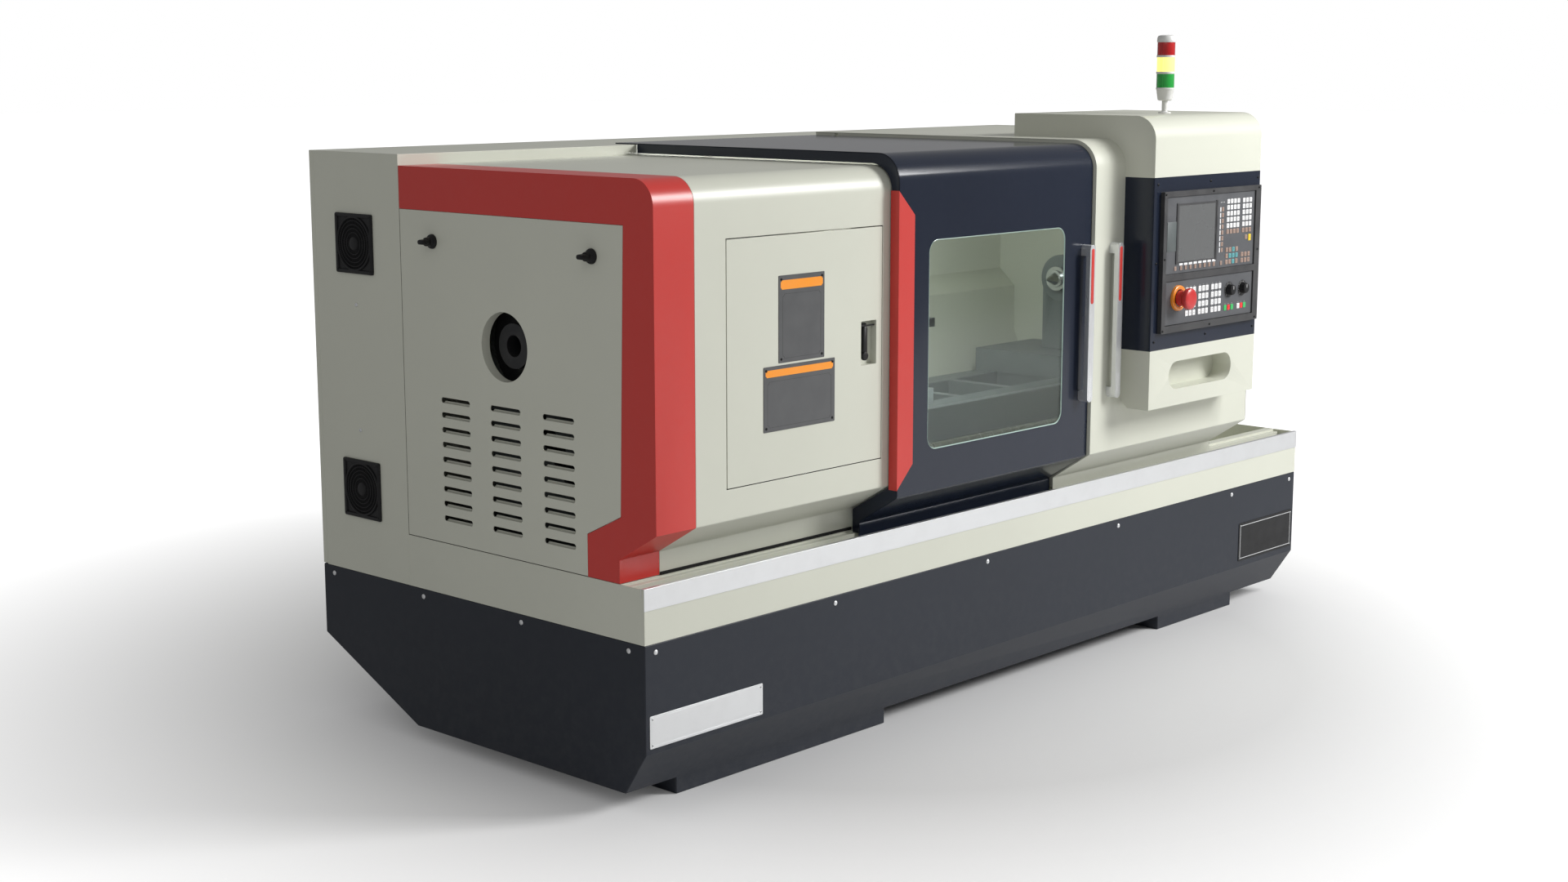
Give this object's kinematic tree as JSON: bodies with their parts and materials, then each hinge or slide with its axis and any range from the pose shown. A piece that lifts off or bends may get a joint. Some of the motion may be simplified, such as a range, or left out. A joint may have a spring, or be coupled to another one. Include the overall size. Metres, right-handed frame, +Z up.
{
  "type": "cnc turning lathe",
  "caption": "Flat-bed CNC lathe: chip tray on a plinth, fixed headstock cover, two sliding guard doors, one with a window, one carrying a hooded control console with a signal tower.",
  "frame": {"origin": "middle of the outline, on the floor", "axes": "+X along the spindle from headstock to tailstock, +Y from the front to the back, +Z up"},
  "size_m": [2.9396, 1.478, 1.793],
  "materials": {
    "cream_paint": "semi-gloss powder coat",
    "navy_paint": "gloss paint",
    "red_paint": "gloss paint",
    "silver_trim": "satin",
    "bright_steel": "ground",
    "machine_iron": "painted casting with ground ways",
    "black_plastic": "fine texture",
    "white_plastic": "smooth satin",
    "panel_grey": "printed membrane",
    "sign_print": "printed sheet",
    "window_glass": "clear",
    "belt_rubber": "matt",
    "signal_green": "ribbed lens",
    "signal_yellow": "ribbed lens",
    "signal_red": "ribbed lens",
    "motor_paint": "matt"
  },
  "bodies": {
    "machine": {"base_frame": "navy_paint", "base_rivets": "silver_trim", "name_plates": "silver_trim", "chip_tray": "cream_paint", "tray_rim": "silver_trim", "front_sill": "cream_paint", "rear_cabinet": "cream_paint", "fan_guards": "black_plastic", "headstock_cover": "cream_paint", "end_frame": "red_paint", "end_panel": "cream_paint", "machine_bed": "machine_iron", "headstock": "machine_iron", "spindle_motor": "motor_paint", "drive_belt": "belt_rubber", "feed_motor": "motor_paint", "back_guard": "cream_paint", "right_guard": "cream_paint"},
    "left_leaf": {"left_door": "navy_paint", "window_glass": "window_glass", "door_trim": "red_paint", "left_handle": "silver_trim"},
    "right_leaf": {"right_door": "cream_paint", "right_handle": "silver_trim", "console_hood": "cream_paint", "console_box": "navy_paint", "console_base": "cream_paint", "console_bezel": "panel_grey", "display_unit": "panel_grey", "machine_keypad": "panel_grey", "beacon_mount": "white_plastic", "beacon_green": "signal_green", "beacon_yellow": "signal_yellow", "beacon_red": "signal_red"},
    "stop_button": {"estop_button": "signal_red"},
    "feed_knob": {"feed_dial": "black_plastic"},
    "speed_knob": {"speed_dial": "black_plastic"},
    "access_leaf": {"access_door": "cream_paint", "sign_plates": "sign_print"},
    "access_lever": {"access_latch": "black_plastic"},
    "front_end_knob": {"end_knob_front": "black_plastic"},
    "rear_end_knob": {"end_knob_rear": "black_plastic"},
    "electrical_leaf": {"electrical_door": "cream_paint"},
    "lock_knob": {"door_lock": "black_plastic"},
    "upper_fan": {"fan_rotor_upper": "black_plastic"},
    "lower_fan": {"fan_rotor_lower": "black_plastic"},
    "main_spindle": {"spindle": "bright_steel", "chuck": "bright_steel"},
    "jaw_1": {"chuck_jaw_1": "bright_steel"},
    "jaw_2": {"chuck_jaw_2": "bright_steel"},
    "jaw_3": {"chuck_jaw_3": "bright_steel"},
    "motor_shaft": {"motor_pulley": "machine_iron"},
    "saddle": {"carriage": "machine_iron"},
    "cross": {"cross_slide": "machine_iron"},
    "turret": {"tool_post": "bright_steel", "turning_tools": "bright_steel"},
    "feed_screw": {"ball_screw": "bright_steel"},
    "tail_body": {"tailstock": "machine_iron"},
    "tail_quill": {"tailstock_quill": "bright_steel"},
    "tail_wheel": {"handwheel": "bright_steel"}
  },
  "joints": [
    {"name": "left_door_slide", "type": "slide", "parent": "machine", "child": "left_leaf", "axis": [1, 0, 0], "range_m": [-0.8, 0]},
    {"name": "right_door_slide", "type": "slide", "parent": "machine", "child": "right_leaf", "axis": [1, 0, 0], "range_m": [0, 0.45]},
    {"name": "stop_press", "type": "slide", "parent": "right_leaf", "child": "stop_button", "axis": [0, 1, 0], "range_m": [0, 0.005], "stiffness_N_per_m": 600},
    {"name": "feed_turn", "type": "hinge", "parent": "right_leaf", "child": "feed_knob", "pos_m": [0.72125, -0.696, 1.0715], "axis": [0, 1, 0], "range_deg": [-135, 135]},
    {"name": "speed_turn", "type": "hinge", "parent": "right_leaf", "child": "speed_knob", "pos_m": [0.79325, -0.696, 1.0715], "axis": [0, 1, 0], "range_deg": [-135, 135]},
    {"name": "access_swing", "type": "hinge", "parent": "machine", "child": "access_leaf", "pos_m": [-1.20325, -0.5478, 1.035], "axis": [0, 0, -1], "range_deg": [0, 110]},
    {"name": "latch_lift", "type": "hinge", "parent": "access_leaf", "child": "access_lever", "pos_m": [-0.70425, -0.5398, 1.083], "axis": [-1, 0, 0], "range_deg": [0, 50]},
    {"name": "front_knob_turn", "type": "hinge", "parent": "machine", "child": "front_end_knob", "pos_m": [-1.43175, -0.3467, 1.2885], "axis": [1, 0, 0], "range_deg": [0, 90]},
    {"name": "rear_knob_turn", "type": "hinge", "parent": "machine", "child": "rear_end_knob", "pos_m": [-1.43175, 0.2267, 1.2895], "axis": [1, 0, 0], "range_deg": [0, 90]},
    {"name": "electrical_swing", "type": "hinge", "parent": "machine", "child": "electrical_leaf", "pos_m": [-1.43175, 0.725, 0.95], "axis": [0, 0, 1], "range_deg": [0, 110]},
    {"name": "lock_turn", "type": "hinge", "parent": "electrical_leaf", "child": "lock_knob", "pos_m": [-0.57375, 0.714, 0.9529], "axis": [0, 1, 0], "range_deg": [0, 90]},
    {"name": "upper_fan_spin", "type": "hinge", "parent": "machine", "child": "upper_fan", "pos_m": [-1.41175, 0.54, 1.2665], "axis": [1, 0, 0], "continuous": true},
    {"name": "lower_fan_spin", "type": "hinge", "parent": "machine", "child": "lower_fan", "pos_m": [-1.41175, 0.54, 0.634], "axis": [1, 0, 0], "continuous": true},
    {"name": "spindle_spin", "type": "hinge", "parent": "machine", "child": "main_spindle", "pos_m": [-0.98175, -0.0345, 1.0534], "axis": [1, 0, 0], "continuous": true},
    {"name": "jaw_1_slide", "type": "slide", "parent": "main_spindle", "child": "jaw_1", "axis": [0, 0, 1], "range_m": [-0.008, 0.01]},
    {"name": "jaw_2_slide", "type": "slide", "parent": "main_spindle", "child": "jaw_2", "axis": [0, -0.866, -0.5], "range_m": [-0.008, 0.01]},
    {"name": "jaw_3_slide", "type": "slide", "parent": "main_spindle", "child": "jaw_3", "axis": [0, 0.866, -0.5], "range_m": [-0.008, 0.01]},
    {"name": "motor_spin", "type": "hinge", "parent": "machine", "child": "motor_shaft", "pos_m": [-1.33975, -0.311, 0.69], "axis": [1, 0, 0], "continuous": true},
    {"name": "carriage_travel", "type": "slide", "parent": "machine", "child": "saddle", "axis": [1, 0, 0], "range_m": [0, 0.72]},
    {"name": "cross_travel", "type": "slide", "parent": "saddle", "child": "cross", "axis": [0, 1, 0], "range_m": [0, 0.14]},
    {"name": "turret_index", "type": "hinge", "parent": "cross", "child": "turret", "pos_m": [-0.34675, -0.291, 0.9], "axis": [0, 0, 1], "continuous": true},
    {"name": "screw_turn", "type": "hinge", "parent": "machine", "child": "feed_screw", "pos_m": [-0.03175, -0.244, 0.66], "axis": [1, 0, 0], "range_deg": [0, 13000]},
    {"name": "tailstock_travel", "type": "slide", "parent": "machine", "child": "tail_body", "axis": [1, 0, 0], "range_m": [-0.15, 0]},
    {"name": "quill_travel", "type": "slide", "parent": "tail_body", "child": "tail_quill", "axis": [-1, 0, 0], "range_m": [0, 0.12]},
    {"name": "handwheel_turn", "type": "hinge", "parent": "tail_body", "child": "tail_wheel", "pos_m": [0.98225, -0.0345, 1.0534], "axis": [1, 0, 0], "range_deg": [0, 2200]}
  ],
  "couplings": [
    {"joint": "jaw_2_slide", "follows": "jaw_1_slide", "ratio": 1},
    {"joint": "jaw_3_slide", "follows": "jaw_1_slide", "ratio": 1},
    {"joint": "motor_spin", "follows": "spindle_spin", "ratio": 1.5714},
    {"joint": "screw_turn", "follows": "carriage_travel", "rad_per_m": 314.16},
    {"joint": "handwheel_turn", "follows": "quill_travel", "rad_per_m": 314.16}
  ]
}
